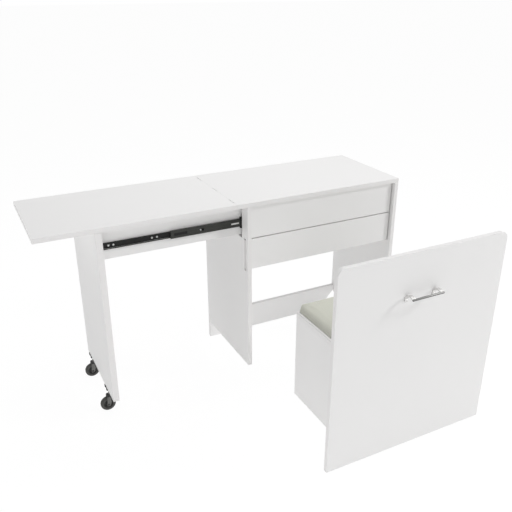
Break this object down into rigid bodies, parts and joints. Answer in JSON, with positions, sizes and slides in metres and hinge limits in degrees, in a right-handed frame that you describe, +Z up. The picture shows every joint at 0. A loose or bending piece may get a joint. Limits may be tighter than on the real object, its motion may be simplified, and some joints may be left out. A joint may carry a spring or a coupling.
{
  "type": "folding desk",
  "caption": "Folding desk: fold-over leaf on a roll-out leg frame with slides and casters, a drawer, and a dock-in seat whose tall back closes the front.",
  "frame": {"origin": "on the floor under the leaf hinge line, less than 8 mm from the middle of the bounding box", "axes": "+X to the right along the desk top, from the leaf to the fixed top; +Y from the seat to the desk's back; +Z up"},
  "size_m": [1.3985, 1.012, 0.7527],
  "materials": {
    "white_board": "satin white melamine",
    "black_slide": "black coated steel",
    "caster_steel": "dark grey coated steel",
    "caster_tyre": "dark grey rubber",
    "caster_hub": "grey plastic",
    "zinc": "zinc plated",
    "beech": "raw beech",
    "nickel": "satin nickel",
    "cushion": "pale green-grey vinyl"
  },
  "bodies": {
    "desk": {"main_top": "white_board", "left_side_panel": "white_board", "right_side_panel": "white_board", "back_rail_lower": "white_board", "back_rail_upper": "white_board", "fascia": "white_board", "slide_support_rail": "white_board", "compartment_floor": "white_board", "slide_outer_front": "black_slide", "slide_outer_rear": "black_slide", "slide_screws": "zinc", "carcass_screws": "zinc", "floor_dowels": "beech", "top_angles": "zinc", "angle_screws": "zinc", "hinge_plates_main": "zinc", "hinge_pins": "zinc", "hinge_screws_main": "zinc", "drawer_runners_fixed": "zinc", "runner_screws": "zinc"},
    "leaf": {"leaf_top": "white_board", "hinge_plates_leaf": "zinc", "hinge_screws_leaf": "zinc"},
    "slide_middles": {"slide_middle_front": "black_slide", "slide_middle_rear": "black_slide"},
    "extension": {"leg_panel": "white_board", "apron_front": "white_board", "apron_rear": "white_board", "apron_tie": "white_board", "slide_inner_front": "black_slide", "slide_inner_rear": "black_slide", "frame_screws": "zinc", "frame_dowels": "beech", "caster_strips": "caster_steel"},
    "caster_front": {"caster_front_fork": "caster_steel", "caster_front_axle": "zinc"},
    "wheel_front": {"caster_front_tyre": "caster_tyre", "caster_front_hub": "caster_hub"},
    "caster_rear": {"caster_rear_fork": "caster_steel", "caster_rear_axle": "zinc"},
    "wheel_rear": {"caster_rear_tyre": "caster_tyre", "caster_rear_hub": "caster_hub"},
    "drawer": {"drawer_front": "white_board", "drawer_side_left": "white_board", "drawer_side_right": "white_board", "drawer_back": "white_board", "drawer_bottom": "white_board", "drawer_runners_moving": "zinc", "drawer_screws": "zinc"},
    "seat": {"chair_back_panel": "white_board", "seat_side_left": "white_board", "seat_side_right": "white_board", "seat_far_board": "white_board", "seat_board": "white_board", "seat_cushion": "cushion", "seat_dowels": "beech", "seat_angles": "zinc", "seat_angle_screws": "zinc", "chair_pull": "nickel", "pull_screws": "zinc"}
  },
  "joints": [
    {"name": "leaf_fold", "type": "hinge", "parent": "desk", "child": "leaf", "pos_m": [0, 0.30675, 0.7505], "axis": [0, 1, 0], "range_deg": [0, 180]},
    {"name": "extension_slide", "type": "slide", "parent": "desk", "child": "extension", "axis": [1, 0, 0], "range_m": [0, 0.501]},
    {"name": "middle_slide", "type": "slide", "parent": "desk", "child": "slide_middles", "axis": [1, 0, 0], "range_m": [0, 0.25551]},
    {"name": "caster_front_swivel", "type": "hinge", "parent": "extension", "child": "caster_front", "pos_m": [-0.49, 0.18625, 0.06], "axis": [0, 0, 1], "continuous": true},
    {"name": "caster_front_roll", "type": "hinge", "parent": "caster_front", "child": "wheel_front", "pos_m": [-0.5055, 0.18625, 0.028], "axis": [0, 1, 0], "continuous": true},
    {"name": "caster_rear_swivel", "type": "hinge", "parent": "extension", "child": "caster_rear", "pos_m": [-0.49, 0.43025, 0.06], "axis": [0, 0, 1], "continuous": true},
    {"name": "caster_rear_roll", "type": "hinge", "parent": "caster_rear", "child": "wheel_rear", "pos_m": [-0.5055, 0.43025, 0.028], "axis": [0, 1, 0], "continuous": true},
    {"name": "drawer_slide", "type": "slide", "parent": "desk", "child": "drawer", "axis": [0, 1, 0], "range_m": [-0.2, 0]},
    {"name": "seat_dock", "type": "slide", "parent": "desk", "child": "seat", "axis": [0, 1, 0], "range_m": [0, 0.531]}
  ],
  "couplings": [
    {"joint": "middle_slide", "follows": "extension_slide", "ratio": 0.51}
  ]
}
